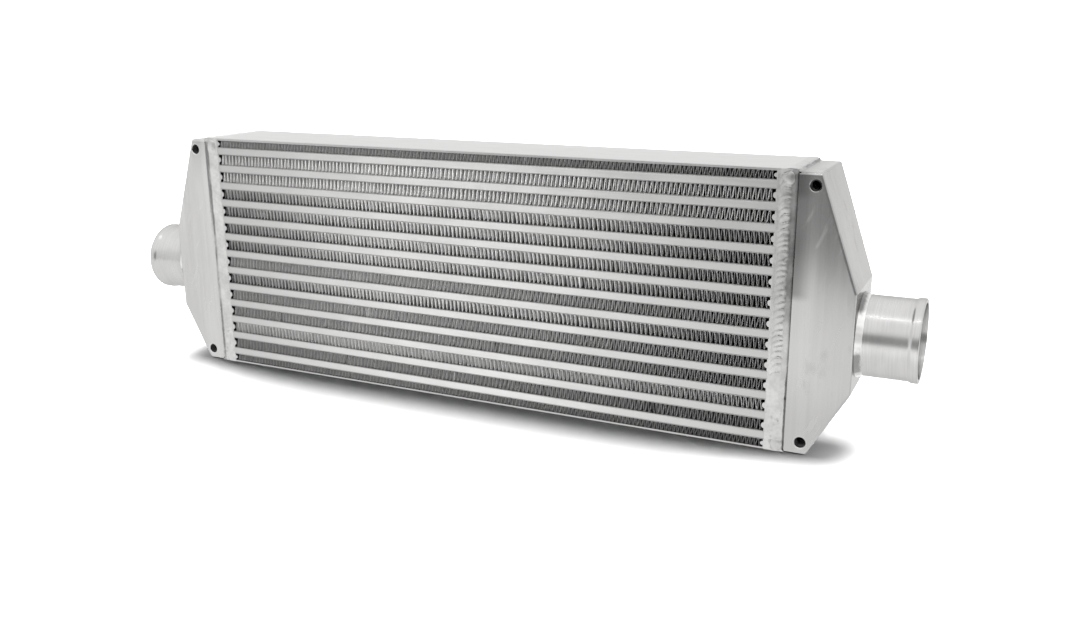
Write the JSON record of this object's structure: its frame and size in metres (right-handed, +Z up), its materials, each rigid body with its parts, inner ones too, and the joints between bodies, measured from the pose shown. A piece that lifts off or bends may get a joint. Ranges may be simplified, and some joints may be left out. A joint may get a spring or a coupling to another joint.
{
  "type": "intercooler",
  "caption": "Bar and plate charge air cooler: folded fins between bright bars, cast end tanks, a lipped pipe stub on each end and tapped holes in the front.",
  "frame": {"origin": "middle of the core's footprint, on the underside of the bottom plate", "axes": "+X along the length towards the right pipe, +Y from the front face to the back face, +Z up"},
  "size_m": [0.7488, 0.0806, 0.2222],
  "materials": {
    "air_fin": "thin folded sheet, matt, darker in the depth of the rows",
    "bar": "extruded bar, satin, brushed along its length",
    "turbulator": "thin folded sheet, matt",
    "sheet": "clad sheet, satin edge",
    "plate": "rolled plate, satin",
    "spacer": "extruded bar, satin",
    "cast_tank": "fine sand casting, hand dressed with soft smears",
    "pipe": "drawn tube, bright",
    "weld": "weld bead, rippled or ground flat"
  },
  "bodies": {
    "root": {"air_fin_01": "air_fin", "air_fin_02": "air_fin", "air_fin_03": "air_fin", "air_fin_04": "air_fin", "air_fin_05": "air_fin", "air_fin_06": "air_fin", "air_fin_07": "air_fin", "air_fin_08": "air_fin", "air_fin_09": "air_fin", "air_fin_10": "air_fin", "air_fin_11": "air_fin", "air_fin_12": "air_fin", "air_fin_13": "air_fin", "air_fin_14": "air_fin", "charge_bars_01": "bar", "charge_bars_02": "bar", "charge_bars_03": "bar", "charge_bars_04": "bar", "charge_bars_05": "bar", "charge_bars_06": "bar", "charge_bars_07": "bar", "charge_bars_08": "bar", "charge_bars_09": "bar", "charge_bars_10": "bar", "charge_bars_11": "bar", "charge_bars_12": "bar", "charge_bars_13": "bar", "turbulator_01": "turbulator", "turbulator_02": "turbulator", "turbulator_03": "turbulator", "turbulator_04": "turbulator", "turbulator_05": "turbulator", "turbulator_06": "turbulator", "turbulator_07": "turbulator", "turbulator_08": "turbulator", "turbulator_09": "turbulator", "turbulator_10": "turbulator", "turbulator_11": "turbulator", "turbulator_12": "turbulator", "turbulator_13": "turbulator", "parting_sheets": "sheet", "top_plate": "plate", "bottom_plate": "plate", "left_spacer_bars": "spacer", "right_spacer_bars": "spacer", "left_end_tank": "cast_tank", "right_end_tank": "cast_tank", "left_pipe": "pipe", "right_pipe": "pipe", "left_core_weld": "weld", "right_core_weld": "weld", "left_pipe_weld": "weld", "right_pipe_weld": "weld"}
  },
  "joints": []
}
